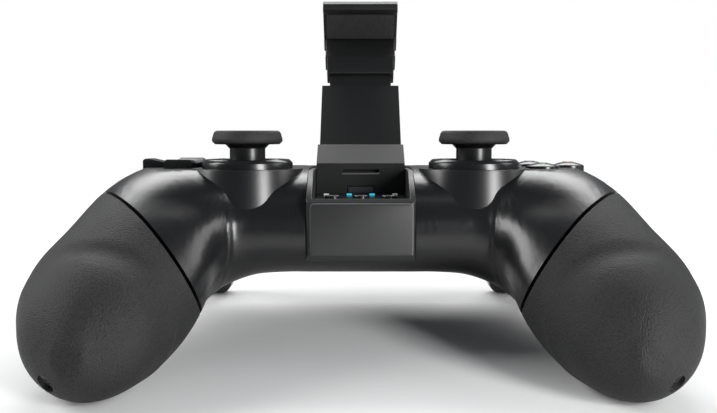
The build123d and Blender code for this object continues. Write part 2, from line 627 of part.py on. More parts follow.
# Clamp base: lower jaw with its lip, the arm's plate and a slot for the sliding tongue
base_points = [
    clamp_point(lip_low_along, lip_low_out), clamp_point(lip_tip_along, lip_tip_out),
    clamp_point(lip_end_along, lip_end_out), clamp_point(lip_end_along, lip_thick_out),
    clamp_point(seat_along, lip_thick_out), clamp_point(seat_along, plate_front),
    clamp_point(plate_top, plate_front), clamp_point(plate_top, plate_back),
    clamp_point(0, plate_back + plate_taper), clamp_point(heel_along, heel_out),
]
lean = radians(recline)
arm_plane = Plane(origin=(0, hinge_y, hinge_z), x_dir=(1, 0, 0), z_dir=(0, -cos(lean), sin(lean)))
with BuildPart() as clamp_base:
    with BuildSketch(Plane.YZ):
        add(side_profile(base_points))
    extrude(amount=clamp_half, both=True)
    fillet(clamp_base.edges().filter_by(Axis.X).group_by(Axis.Z)[0], heel_edge)
    with Locations((0, hinge_y, hinge_z)):
        Cylinder(knuckle_radius, clamp_half * 2, rotation=(0, 90, 0))
        Cylinder(pin_radius + pin_gap, clamp_half * 3, rotation=(0, 90, 0), mode=Mode.SUBTRACT)
    with BuildSketch(arm_plane.offset(tongue_back - fit_gap)):
        with Locations((0, tongue_slot_low)):
            Rectangle((tongue_half + tongue_slot_gap) * 2, overrun, align=(Align.CENTER, Align.MIN))
    extrude(amount=tongue_front - tongue_back + fit_gap * 2, mode=Mode.SUBTRACT)
    with Locations((0, slot_y, slot_z)):
        Box(slot_long, slot_deep, slot_high, mode=Mode.SUBTRACT)
    with Locations((0, catch_y, catch_z)):
        Box(catch_long + catch_gap * 2, (catch_deep + catch_travel + catch_gap) * 2, catch_high + catch_gap * 2,
            mode=Mode.SUBTRACT)
handed("clamp_base", clamp_base.part)

with BuildPart() as fold_catch:
    with Locations((0, catch_y - catch_proud, catch_z)):
        Box(catch_long, catch_deep, catch_high, align=(Align.CENTER, Align.MIN, Align.CENTER))
handed("fold_catch", fold_catch.part)

with BuildPart() as lower_jaw_pad:
    with BuildSketch(arm_plane.offset(plate_front + panel_gap)):
        with Locations((0, seat_along + pad_seat)):
            Rectangle((clamp_half - pad_edge) * 2, pad_thick, align=(Align.CENTER, Align.MIN))
    extrude(amount=lip_thick_out - plate_front - panel_gap * 2)
handed("lower_jaw_pad", lower_jaw_pad.part)

with BuildPart() as clamp_pin:
    with Locations((0, hinge_y, hinge_z)):
        Cylinder(pin_radius, (module_half - pin_shy) * 2, rotation=(0, 90, 0))
handed("clamp_pin", clamp_pin.part)

with BuildPart() as jaw_slider:
    with BuildSketch(arm_plane.offset(tongue_back)):
        with Locations((0, tongue_low)):
            Rectangle(tongue_half * 2, jaw_low + tongue_tuck - tongue_low, align=(Align.CENTER, Align.MIN))
    extrude(amount=tongue_front - tongue_back)
handed("jaw_slider", jaw_slider.part)

# Upper jaw: narrow neck, swelling, then the padded hook over the phone's edge
jaw_points = [
    clamp_point(jaw_low, jaw_back), clamp_point(jaw_low, jaw_neck_out),
    clamp_point(jaw_low + jaw_neck_along, jaw_neck_out + jaw_step),
    clamp_point(jaw_low + jaw_swell_along, jaw_swell_out), clamp_point(jaw_low + jaw_waist_along, jaw_waist_out),
    clamp_point(jaw_grip, jaw_waist_out), clamp_point(jaw_grip, jaw_lip_out),
    clamp_point(jaw_grip - jaw_step, jaw_lip_out + jaw_nose_along), clamp_point(jaw_grip - jaw_step, jaw_hook_out),
    clamp_point(jaw_grip + jaw_nose_along, jaw_nose_out), clamp_point(jaw_top - jaw_nose_along, jaw_hook_out),
    clamp_point(jaw_top, jaw_back + jaw_back_edge), clamp_point(jaw_top - jaw_back_edge, jaw_back),
]
with BuildPart() as upper_jaw:
    with BuildSketch(Plane.YZ):
        add(side_profile(jaw_points))
    extrude(amount=clamp_half, both=True)
    with BuildSketch(arm_plane.offset(-overrun)):
        for side in (-1, 1):
            with Locations((side * neck_half, jaw_low)):
                Rectangle(overrun, neck_along, align=(Align.MIN if side > 0 else Align.MAX, Align.MIN))
            with Locations((side * shoulder_half, jaw_low + neck_along)):
                Rectangle(overrun, jaw_grip - jaw_low - neck_along - jaw_step,
                          align=(Align.MIN if side > 0 else Align.MAX, Align.MIN))
    extrude(amount=overrun * 2, mode=Mode.SUBTRACT)
    with BuildSketch(arm_plane.offset(tongue_back)):
        with Locations((0, jaw_low)):
            Rectangle(tongue_half * 2, tongue_tuck + pin_gap, align=(Align.CENTER, Align.MIN))
    extrude(amount=tongue_front - tongue_back, mode=Mode.SUBTRACT)
handed("upper_jaw", upper_jaw.part)

with BuildPart() as upper_jaw_pad:
    with BuildSketch(arm_plane.offset(jaw_waist_out + cross_gap)):
        with Locations((0, jaw_grip - pad_seat)):
            Rectangle((clamp_half - pad_edge) * 2, pad_thick, align=(Align.CENTER, Align.MAX))
    extrude(amount=jaw_lip_out - jaw_waist_out - cross_gap)
handed("upper_jaw_pad", upper_jaw_pad.part)

with BuildPart() as jaw_spring:
    with BuildSketch(Plane.YZ):
        with Locations(clamp_point(tongue_slot_low + spring_outer + tongue_slot_gap, (tongue_front + tongue_back) / 2)):
            Circle(spring_outer)
            Circle(spring_inner, mode=Mode.SUBTRACT)
    extrude(amount=spring_long / 2, both=True)
handed("jaw_spring", jaw_spring.part)

# Bumpers: the outer form's own surface between the recess's walls
with BuildPart() as bumper:
    add(half_form.part)
    with BuildSketch(Plane.XY.offset(bumper_bottom)):
        with Locations((shoulder_middle, shoulder_wall + bumper_stand)):
            Rectangle(shoulder_width - shoulder_gap * 2, overrun, align=(Align.CENTER, Align.MIN))
    extrude(amount=shoulder_top - bumper_bottom - shoulder_gap, mode=Mode.INTERSECT)
both_ways("bumper", bumper.part)

# Triggers: a paddle bent back in side view and rounded at its tip in front view
trigger_points = [
    (trigger_front_y, trigger_root_high - trigger_root_step), (trigger_root_front, trigger_root_high),
    (trigger_rear_y, trigger_root_high), (trigger_knee_y, trigger_knee_z),
    (trigger_waist_rear, trigger_waist_z), (trigger_tip_y, trigger_tip_z),
    (trigger_tip_y - trigger_tip_deep, trigger_tip_z), (trigger_waist_front, trigger_waist_z),
    (trigger_bend_y, trigger_bend_z), (trigger_front_y, trigger_root_low),
]
trigger_left, trigger_right = shoulder_in + shoulder_gap, shoulder_out - shoulder_gap
trigger_front_points = [
    (trigger_left, overrun), (trigger_right, overrun), (trigger_right, trigger_narrow_z),
    (trigger_right - trigger_narrow, trigger_tip_z), (trigger_left + trigger_narrow, trigger_tip_z),
    (trigger_left, trigger_narrow_z),
]
with BuildPart() as trigger:
    with BuildSketch(Plane.YZ.offset(trigger_left)):
        trigger_face = add(side_profile(trigger_points))
        fillet(trigger_face.vertices(), trigger_edge)
    extrude(amount=trigger_right - trigger_left)
    with BuildSketch(Plane.XZ):
        trigger_front = add(side_profile(trigger_front_points))
        fillet(trigger_front.vertices().group_by(Axis.Y)[0], trigger_tip_round)
    extrude(amount=-overrun, mode=Mode.INTERSECT)
    with Locations((shoulder_middle, trigger_pivot_y, trigger_pivot_z)):
        Cylinder(trigger_pin + pin_gap, overrun, rotation=(0, 90, 0), mode=Mode.SUBTRACT)
both_ways("trigger", trigger.part)

with BuildPart() as trigger_pins:
    with Locations((shoulder_middle, trigger_pivot_y, trigger_pivot_z)):
        Cylinder(trigger_pin, shoulder_width + pin_bite * 2, rotation=(0, 90, 0))
    mirror(about=Plane.YZ)
handed("trigger_pins", trigger_pins.part)

leaf_middle = (leaf_low + leaf_high) / 2 - leaf_wide / 3
leaf_points = [
    (leaf_y, leaf_high), (leaf_y + leaf_thick, leaf_high), (leaf_y + leaf_thick, leaf_middle + leaf_wide / 3),
    (leaf_y + leaf_thick + leaf_bulge, leaf_middle), (leaf_y + leaf_thick, leaf_low), (leaf_y, leaf_low),
    (leaf_y + leaf_bulge, leaf_middle), (leaf_y, leaf_middle + leaf_wide / 3),
]
with BuildPart() as trigger_springs:
    with BuildSketch(Plane.YZ.offset(shoulder_middle - leaf_wide / 2)):
        add(side_profile(leaf_points))
    extrude(amount=leaf_wide)
    mirror(about=Plane.YZ)
handed("trigger_springs", trigger_springs.part)

# Screws in the grips' ends, with a crossed slot
with BuildPart() as housing_screws:
    with BuildSketch(screw_plane.offset(pin_gap)):
        Circle(screw_radius - post_gap)
    extrude(amount=screw_head)
    with BuildSketch(screw_plane.offset(pin_gap + screw_head - screw_slot_depth)):
        Rectangle(screw_radius + screw_slot_width, screw_slot_width)
        Rectangle(screw_slot_width, screw_radius + screw_slot_width)
    extrude(amount=overrun, mode=Mode.SUBTRACT)
    mirror(about=Plane.YZ)
handed("housing_screws", housing_screws.part)
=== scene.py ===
"""Mobile game controller with a fold-out phone clamp, dressed and lit on a plain pale floor.

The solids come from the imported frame. Each one is copied, merged and given a moulded edge and a finish. The
small pieces that carry no load, such as the coloured dots and the strips on the deck's rim, are modelled
here. Places on the pad are written in millimetres with the deck level, and the meshes are made in metres as
the pad stands.
"""
import json
import logging
import math
from dataclasses import dataclass, field
from enum import Enum
from typing import Any, Callable

import bpy
from mathutils import Matrix, Vector
from mathutils.kdtree import KDTree

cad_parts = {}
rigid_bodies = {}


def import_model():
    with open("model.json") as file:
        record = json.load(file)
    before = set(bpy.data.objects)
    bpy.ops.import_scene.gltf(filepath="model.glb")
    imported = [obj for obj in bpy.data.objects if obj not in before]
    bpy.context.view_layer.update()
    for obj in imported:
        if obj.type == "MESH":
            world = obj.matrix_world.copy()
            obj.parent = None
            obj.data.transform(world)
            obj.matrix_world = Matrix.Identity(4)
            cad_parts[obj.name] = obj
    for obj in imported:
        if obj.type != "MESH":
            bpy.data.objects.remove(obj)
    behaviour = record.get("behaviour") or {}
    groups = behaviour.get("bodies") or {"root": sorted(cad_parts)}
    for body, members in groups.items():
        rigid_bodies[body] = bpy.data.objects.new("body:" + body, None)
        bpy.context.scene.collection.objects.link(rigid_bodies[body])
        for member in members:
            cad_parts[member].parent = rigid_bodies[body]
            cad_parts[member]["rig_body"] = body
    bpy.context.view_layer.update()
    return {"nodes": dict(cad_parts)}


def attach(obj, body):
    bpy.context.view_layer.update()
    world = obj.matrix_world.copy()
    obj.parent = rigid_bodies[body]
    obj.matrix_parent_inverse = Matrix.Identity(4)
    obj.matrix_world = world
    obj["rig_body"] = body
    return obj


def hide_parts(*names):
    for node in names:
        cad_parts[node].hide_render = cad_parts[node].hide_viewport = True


MM = 0.001
PHOTO_WIDTH = 717
FILM_WIDTH = 36.0
MERGE = 0.002 * MM
SIDES = (("left", -1), ("right", 1))

# How the pad stands: the drawing frame is tipped back and moved, as the solids are.
REST_ANGLE = math.radians(5.693)
REST_LIFT, REST_BACK = -5.079 * MM, -9.471 * MM

Spot = tuple[float, float]
Place = tuple[float, float, float]
Colour = tuple[float, float, float]

log = logging.getLogger("controller")


def to_rest(x: float, y: float, z: float) -> Vector:
    """Turn a point with the deck level into the same point as the pad stands.

    Args:
        x: millimetres to the player's right.
        y: millimetres away from the player.
        z: millimetres upwards.

    Returns:
        The point in metres as the pad stands.
    """
    rise, back = z * MM, y * MM
    return Vector((
        x * MM,
        back * math.cos(REST_ANGLE) + rise * math.sin(REST_ANGLE) + REST_BACK,
        -back * math.sin(REST_ANGLE) + rise * math.cos(REST_ANGLE) + REST_LIFT,
    ))


def to_level(point: Vector) -> Vector:
    """Turn a point as the pad stands into the same point with the deck level.

    Args:
        point: the point in metres as the pad stands.

    Returns:
        The point in millimetres with the deck level.
    """
    back, rise = point.y - REST_BACK, point.z - REST_LIFT
    return Vector((
        point.x / MM,
        (back * math.cos(REST_ANGLE) - rise * math.sin(REST_ANGLE)) / MM,
        (back * math.sin(REST_ANGLE) + rise * math.cos(REST_ANGLE)) / MM,
    ))


def rest_matrix() -> Matrix:
    """Matrix that takes a mesh drawn in metres with the deck level to the way the pad stands."""
    return Matrix.Translation((0, REST_BACK, REST_LIFT)) @ Matrix.Rotation(-REST_ANGLE, 4, "X")


class Body(Enum):
    """Moving bodies that new pieces ride on."""

    HOUSING = "housing"
    CLAMP = "clamp"
    NORTH = "button_north"
    EAST = "button_east"
    SOUTH = "button_south"
    WEST = "button_west"


class Wave:
    """A shader socket whose operators add the Math nodes of the expression."""

    def __init__(self, tree: "Tree", socket: Any) -> None:
        """Wrap one output socket.

        Args:
            tree: the tree that new nodes go into.
            socket: the output socket.
        """
        self.tree, self.socket = tree, socket

    def _math(self, operation: str, *values: Any) -> "Wave":
        """Add one Math node.

        Args:
            operation: the node's operation.
            values: its inputs, numbers or waves.

        Returns:
            The node's value.
        """
        return self.tree.node("ShaderNodeMath", {"operation": operation}, dict(enumerate(values)))["Value"]

    def __add__(self, other: Any) -> "Wave":
        """Sum."""
        return self._math("ADD", self, other)

    def __radd__(self, other: Any) -> "Wave":
        """Sum, reflected."""
        return self._math("ADD", other, self)

    def __sub__(self, other: Any) -> "Wave":
        """Difference."""
        return self._math("SUBTRACT", self, other)

    def __rsub__(self, other: Any) -> "Wave":
        """Difference, reflected."""
        return self._math("SUBTRACT", other, self)

    def __mul__(self, other: Any) -> "Wave":
        """Product."""
        return self._math("MULTIPLY", self, other)

    def __rmul__(self, other: Any) -> "Wave":
        """Product, reflected."""
        return self._math("MULTIPLY", other, self)

    def __truediv__(self, other: Any) -> "Wave":
        """Quotient."""
        return self._math("DIVIDE", self, other)

    def __pow__(self, other: Any) -> "Wave":
        """Power."""
        return self._math("POWER", self, other)

    def clamp(self) -> "Wave":
        """The value held between nothing and one."""
        return self._math("MINIMUM", self._math("MAXIMUM", self, 0.0), 1.0)


class Outputs:
    """The outputs of a node, taken by name as waves."""

    def __init__(self, tree: "Tree", node: bpy.types.Node) -> None:
        """Keep the tree and the node."""
        self.tree, self.raw = tree, node

    def __getitem__(self, name: str | int) -> Wave:
        """The output of that name or number."""
        return Wave(self.tree, self.raw.outputs[name])


class Tree:
    """A node tree, written as expressions."""

    def __init__(self, raw: bpy.types.NodeTree) -> None:
        """Take a node tree and empty it.

        Args:
            raw: the tree of a material or a world.
        """
        self.raw = raw
        raw.nodes.clear()

    def node(self, kind: str, settings: dict | None = None, inputs: dict | None = None) -> Outputs:
        """Add any node.

        Args:
            kind: the node's type.
            settings: its properties, which are set first.
            inputs: the values or waves of its sockets, by name or number.

        Returns:
            The node's outputs.
        """
        made = self.raw.nodes.new(kind)
        for key, value in (settings or {}).items():
            setattr(made, key, value)
        for key, value in (inputs or {}).items():
            if isinstance(value, Wave):
                self.raw.links.new(value.socket, made.inputs[key])
            else:
                made.inputs[key].default_value = value
        return Outputs(self, made)

    def place(self) -> Wave:
        """The object's own coordinates."""
        return self.node("ShaderNodeTexCoord")["Object"]

    def noise(self, scale: float, detail: float = 2.0, roughness: float = 0.5) -> Wave:
        """Soft noise over the object.

        Args:
            scale: cells per metre.
            detail: number of finer layers.
            roughness: weight of the finer layers.

        Returns:
            The noise, from nothing to one.
        """
        return self.node("ShaderNodeTexNoise", {}, {
            "Vector": self.place(), "Scale": scale, "Detail": detail, "Roughness": roughness,
        })["Fac"]

    def cells(self, scale: float, smoothness: float) -> Wave:
        """Distance from the middle of scattered cells that blend into each other.

        Args:
            scale: cells per metre.
            smoothness: how far neighbouring cells blend.

        Returns:
            The distance.
        """
        return self.node("ShaderNodeTexVoronoi", {"feature": "SMOOTH_F1"}, {
            "Vector": self.place(), "Scale": scale, "Smoothness": smoothness,
        })["Distance"]

    def blend(self, low: Colour, high: Colour, share: Wave) -> Wave:
        """Mix two colours.

        Args:
            low: the colour where the share is nothing.
            high: the colour where the share is one.
            share: the wave that chooses.

        Returns:
            The colour.
        """
        return self.node("ShaderNodeMix", {"data_type": "RGBA"}, {0: share, 6: (*low, 1), 7: (*high, 1)})[2]


class Graph(Tree):
    """A material's node tree with its main shader."""

    def __init__(self, name: str) -> None:
        """Start a material with an output and a main shader.

        Args:
            name: the material's name.
        """
        self.material = bpy.data.materials.new(name)
        self.material.use_nodes = True
        super().__init__(self.material.node_tree)
        output = self.node("ShaderNodeOutputMaterial").raw
        self.surface = self.node("ShaderNodeBsdfPrincipled").raw
        self.raw.links.new(self.surface.outputs["BSDF"], output.inputs["Surface"])

    def feed(self, socket: str, value: Any) -> None:
        """Set or link a socket of the main shader.

        Args:
            socket: the socket's name.
            value: a number, a colour or a wave.
        """
        if isinstance(value, Wave):
            self.raw.links.new(value.socket, self.surface.inputs[socket])
        else:
            self.surface.inputs[socket].default_value = value

    def bump(self, height: Wave, depth: float) -> None:
        """Raise the surface by a height.

        Args:
            height: the wave.
            depth: metres between nothing and one.
        """
        raised = self.node("ShaderNodeBump", {}, {"Height": height, "Distance": depth, "Strength": 1.0})
        self.feed("Normal", raised["Normal"])


@dataclass(frozen=True)
class Moulded:
    """Moulded plastic or rubber: a colour that drifts a little, a gloss and a fine grain."""

    name: str
    low: Colour
    high: Colour
    rough_low: float
    rough_high: float
    grain_scale: float = 5200.0
    grain_depth: float = 0.001 * MM
    specular: float = 0.5
    drift_scale: float = 60.0
    drift_detail: float = 3.0

    def material(self) -> bpy.types.Material:
        """Build the material.

        Returns:
            The finished material.
        """
        graph = Graph(self.name)
        drift = graph.noise(self.drift_scale, self.drift_detail)
        fine = graph.noise(self.grain_scale)
        graph.feed("Base Color", graph.blend(self.low, self.high, drift))
        graph.feed("Roughness", self.rough_low + fine * (self.rough_high - self.rough_low))
        graph.feed("Specular IOR Level", self.specular)
        graph.bump(fine, self.grain_depth)
        return graph.material


@dataclass(frozen=True)
class Pebbled:
    """Rubbery skin covered in fine rounded pebbles, as on the grips and the stick tops, with painted
    highlights on their tops and painted shade between them.
    """

    name: str
    # The valley colour is painted shade between the pebbles, and the peak colour a painted highlight on their
    # tops.
    valley: Colour
    peak_highlight: Colour
    pebble: float
    depth: float
    roughness: float
    blending: float = 0.35
    crown: float = 1.25
    crown_share: float = 0.75
    fine_per_pebble: float = 1.7
    fine_detail: float = 3.0
    fine_roughness: float = 0.6
    fine_share: float = 0.35
    worn_scale: float = 45.0
    worn_share: float = 0.25
    light_share: float = 0.9
    light_shift: float = 0.1
    gloss_spread: float = 0.12
    specular: float = 0.28

    def material(self) -> bpy.types.Material:
        """Build the material.

        Returns:
            The finished material.
        """
        graph = Graph(self.name)
        scale = 1.0 / self.pebble
        coarse = graph.cells(scale, self.blending)
        fine = graph.noise(scale * self.fine_per_pebble, self.fine_detail, self.fine_roughness)
        height = (1.0 - coarse * self.crown) * self.crown_share + fine * self.fine_share
        worn = graph.noise(self.worn_scale)
        # Painted light: the pebble tops are painted lighter as a highlight and the hollows darker as shade,
        # with a random tone from the worn noise mixed in.
        light = (height * self.light_share + worn * self.worn_share - self.light_shift).clamp()
        graph.feed("Base Color", graph.blend(self.valley, self.peak_highlight, light))
        graph.feed("Roughness", (self.roughness + (fine - 0.5) * self.gloss_spread).clamp())
        graph.feed("Specular IOR Level", self.specular)
        graph.bump(height, self.depth)
        return graph.material


@dataclass(frozen=True)
class Metal:
    """Plain metal with faint marks."""

    name: str
    colour: Colour
    roughness: float
    dull_share: float = 0.8
    marks_scale: float = 2500.0
    marks_depth: float = 0.01 * MM
    gloss_spread: float = 0.15

    def material(self) -> bpy.types.Material:
        """Build the material.

        Returns:
            The finished material.
        """
        graph = Graph(self.name)
        marks = graph.noise(self.marks_scale, 4.0, 0.6)
        dull = tuple(part * self.dull_share for part in self.colour)
        graph.feed("Base Color", graph.blend(dull, self.colour, marks))
        graph.feed("Metallic", 1.0)
        graph.feed("Roughness", self.roughness + marks * self.gloss_spread)
        graph.bump(marks, self.marks_depth)
        return graph.material


@dataclass(frozen=True)
class Glow:
    """A small lit window, or a printed coloured dot with a painted glow that makes it a little brighter than
    its surroundings.
    """

    name: str
    colour: Colour
    strength: float
    dim_share: float = 0.7
    haze_scale: float = 900.0
    roughness: float = 0.3

    def material(self) -> bpy.types.Material:
        """Build the material.

        Returns:
            The finished material.
        """
        graph = Graph(self.name)
        dim = tuple(part * self.dim_share for part in self.colour)
        colour = graph.blend(dim, self.colour, graph.noise(self.haze_scale))
        graph.feed("Base Color", colour)
        graph.feed("Emission Color", colour)
        graph.feed("Emission Strength", self.strength)
        graph.feed("Roughness", self.roughness)
        return graph.material


@dataclass
class Finishes:
    """Every finish on the pad, made once and taken by name."""

    made: dict[str, bpy.types.Material] = field(default_factory=dict)

    def build(self) -> None:
        """Make all the materials."""
        kinds = [
            Moulded("shell", (0.0040, 0.0041, 0.0046), (0.0060, 0.0061, 0.0068), 0.27, 0.34,
                    grain_depth=0.002 * MM),
            Moulded("shell_dark", (0.0035, 0.0035, 0.0038), (0.0050, 0.0050, 0.0055), 0.42, 0.52, 4200.0,
                    0.006 * MM),
            # The pebbled finishes here run from painted shade in the hollows to a painted highlight on the
            # pebble tops.
            Pebbled("grip", (0.003, 0.003, 0.0032), (0.022, 0.022, 0.0228), 0.36 * MM, 0.16 * MM, 0.58),
            Moulded("module", (0.0100, 0.0102, 0.0106), (0.0135, 0.0137, 0.0142), 0.40, 0.48,
                    grain_depth=0.002 * MM),
            Moulded("panel", (0.0040, 0.0045, 0.0055), (0.0055, 0.0062, 0.0075), 0.16, 0.24),
            Moulded("keycap", (0.0050, 0.0050, 0.0052), (0.0075, 0.0075, 0.0078), 0.22, 0.30),
            Moulded("ring", (0.0040, 0.0040, 0.0045), (0.0060, 0.0060, 0.0066), 0.20, 0.28),
            Pebbled("stick_rubber", (0.004, 0.004, 0.004), (0.034, 0.034, 0.034), 0.28 * MM, 0.08 * MM, 0.62),
            Moulded("clamp", (0.0040, 0.0042, 0.0045), (0.0055, 0.0057, 0.0062), 0.44, 0.54, 4800.0,
                    0.004 * MM, 0.3),
            Pebbled("pad_rubber", (0.012, 0.012, 0.012), (0.030, 0.030, 0.030), 0.5 * MM, 0.06 * MM, 0.7),
            Moulded("tab", (0.012, 0.014, 0.017), (0.016, 0.018, 0.022), 0.34, 0.42),
            Metal("steel", (0.55, 0.55, 0.56), 0.28),
            Metal("black_steel", (0.06, 0.06, 0.062), 0.35),
            Moulded("board", (0.004, 0.012, 0.008), (0.006, 0.018, 0.011), 0.35, 0.5, 3000.0, 0.01 * MM),
            Moulded("battery", (0.30, 0.31, 0.33), (0.38, 0.39, 0.41), 0.3, 0.45, 900.0, 0.02 * MM),
            Moulded("inner", (0.06, 0.06, 0.065), (0.08, 0.08, 0.085), 0.45, 0.6, 3000.0, 0.01 * MM),
            Moulded("silicone", (0.20, 0.20, 0.21), (0.25, 0.25, 0.26), 0.5, 0.65, 3000.0, 0.01 * MM),
            Glow("cyan_light", (0.03, 0.45, 0.62), 0.9),
            Glow("pale_light", (0.55, 0.57, 0.58), 0.25),
            # The button dots are printed colours with a painted glow: they emit though the buttons hold no
            # lamp.
            Glow("green_mark_painted_glow", (0.02, 0.22, 0.045), 0.20),
            Glow("red_mark_painted_glow", (0.18, 0.045, 0.030), 0.12),
            Glow("pale_mark_painted_glow", (0.22, 0.225, 0.23), 0.05),
            # A lighter grey that stands as a painted highlight on the front plate's rounded edge and on the
            # clamp slot's lip.
            Moulded("painted_edge_highlight", (0.060, 0.060, 0.062), (0.075, 0.075, 0.078), 0.35, 0.45),
        ]
        for kind in kinds:
            self.made[kind.name] = kind.material()

    def give(self, obj: bpy.types.Object, name: str) -> None:
        """Put one finish on an object."""
        obj.data.materials.clear()
        obj.data.materials.append(self.made[name])

    def second(self, obj: bpy.types.Object, name: str, chosen: Callable[[Vector, Vector], bool]) -> None:
        """Give the chosen faces of a piece another finish.

        Args:
            obj: the piece.
            name: the other finish's name.
            chosen: says whether a face is meant, from its centre with the deck level and its normal.
        """
        obj.data.materials.append(self.made[name])
        for face in obj.data.polygons:
            if chosen(to_level(face.center), face.normal):
                face.material_index = len(obj.data.materials) - 1


def select_none() -> None:
    """Deselect every object."""
    for other in bpy.context.view_layer.objects:
        other.select_set(False)


def select_only(obj: bpy.types.Object) -> None:
    """Select one object alone and make it active.

    Args:
        obj: the object.
    """
    select_none()
    obj.select_set(True)
    bpy.context.view_layer.objects.active = obj


def even_normals(obj: bpy.types.Object) -> None:
    """Let large faces steer the shading, so that slivers beside a cut don't show.

    Args:
        obj: the active object, in object mode.
    """
    steady = obj.modifiers.new("even", "WEIGHTED_NORMAL")
    steady.mode = "FACE_AREA_WITH_ANGLE"
    steady.weight = 80
    steady.keep_sharp = True
    bpy.ops.object.modifier_apply(modifier="even")


def calm(obj: bpy.types.Object, rounds: int, margin: float = 0.9, angle: float = 22.0) -> None:
    """Relax the points of a curved skin that lie clear of its sharp edges, and steady its shading.

    Args:
        obj: the skin.
        rounds: how often its points are relaxed.
        margin: millimetres beside a sharp edge that stay as they are.
        angle: degrees over which an edge stays sharp.
    """
    mesh = obj.data
    sharp = {v for line in mesh.edges if line.use_edge_sharp for v in line.vertices}
    tree = KDTree(len(sharp))
    for index in sharp:
        tree.insert(mesh.vertices[index].co, index)
    tree.balance()
    select_only(obj)
    bpy.ops.object.mode_set(mode="EDIT")
    bpy.ops.mesh.select_mode(type="VERT")
    bpy.ops.mesh.select_all(action="DESELECT")
    bpy.ops.object.mode_set(mode="OBJECT")
    for point in mesh.vertices:
        point.select = tree.find(point.co)[2] > margin * MM
    bpy.ops.object.mode_set(mode="EDIT")
    # The second pass of each round swells the skin again by what the first one shrank it.
    for _ in range(rounds):
        bpy.ops.mesh.vertices_smooth(factor=0.5)
        bpy.ops.mesh.vertices_smooth(factor=-0.51)
    bpy.ops.object.mode_set(mode="OBJECT")
    if mesh.has_custom_normals:
        bpy.ops.mesh.customdata_custom_splitnormals_clear()
    bpy.ops.object.shade_smooth_by_angle(angle=math.radians(angle))


@dataclass
class Dresser:
    """Copies solids of the frame, merges them and rounds their edges."""

    nodes: dict[str, bpy.types.Object]
    finishes: Finishes
    flat_angle: float = 0.6
    round_steps: int = 3

    def dress(self, node: str, finish: str, bevel: float = 0.0, angle: float = 32.0) -> bpy.types.Object:
        """Put a smooth copy in place of a solid.

        Args:
            node: the solid's name.
            finish: the finish's name.
            bevel: width of the rounded edge in millimetres, or nothing.
            angle: degrees over which an edge stays sharp.

        Returns:
            The copy.
        """
        source = self.nodes[node]
        copy = source.copy()
        copy.data = source.data.copy()
        copy.name = f"{node}_skin"
        for key in list(copy.keys()):
            if key.startswith("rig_"):
                del copy[key]
        copy.parent = None
        bpy.context.scene.collection.objects.link(copy)
        select_only(copy)
        bpy.ops.object.mode_set(mode="EDIT")
        bpy.ops.mesh.select_all(action="SELECT")
        bpy.ops.mesh.remove_doubles(threshold=MERGE)
        if bevel:
            bpy.ops.mesh.dissolve_limited(angle_limit=math.radians(self.flat_angle))
        bpy.ops.object.mode_set(mode="OBJECT")
        if bevel:
            rounding = copy.modifiers.new("edge", "BEVEL")
            rounding.width = bevel * MM
            rounding.segments = self.round_steps
            rounding.limit_method = "ANGLE"
            rounding.angle_limit = math.radians(angle)
            rounding.harden_normals = False
            bpy.ops.object.modifier_apply(modifier="edge")
        bpy.ops.object.shade_smooth_by_angle(angle=math.radians(angle))
        even_normals(copy)
        self.finishes.give(copy, finish)
        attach(copy, source["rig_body"])
        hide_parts(node)
        log.info("%s dressed as %s", node, finish)
        return copy


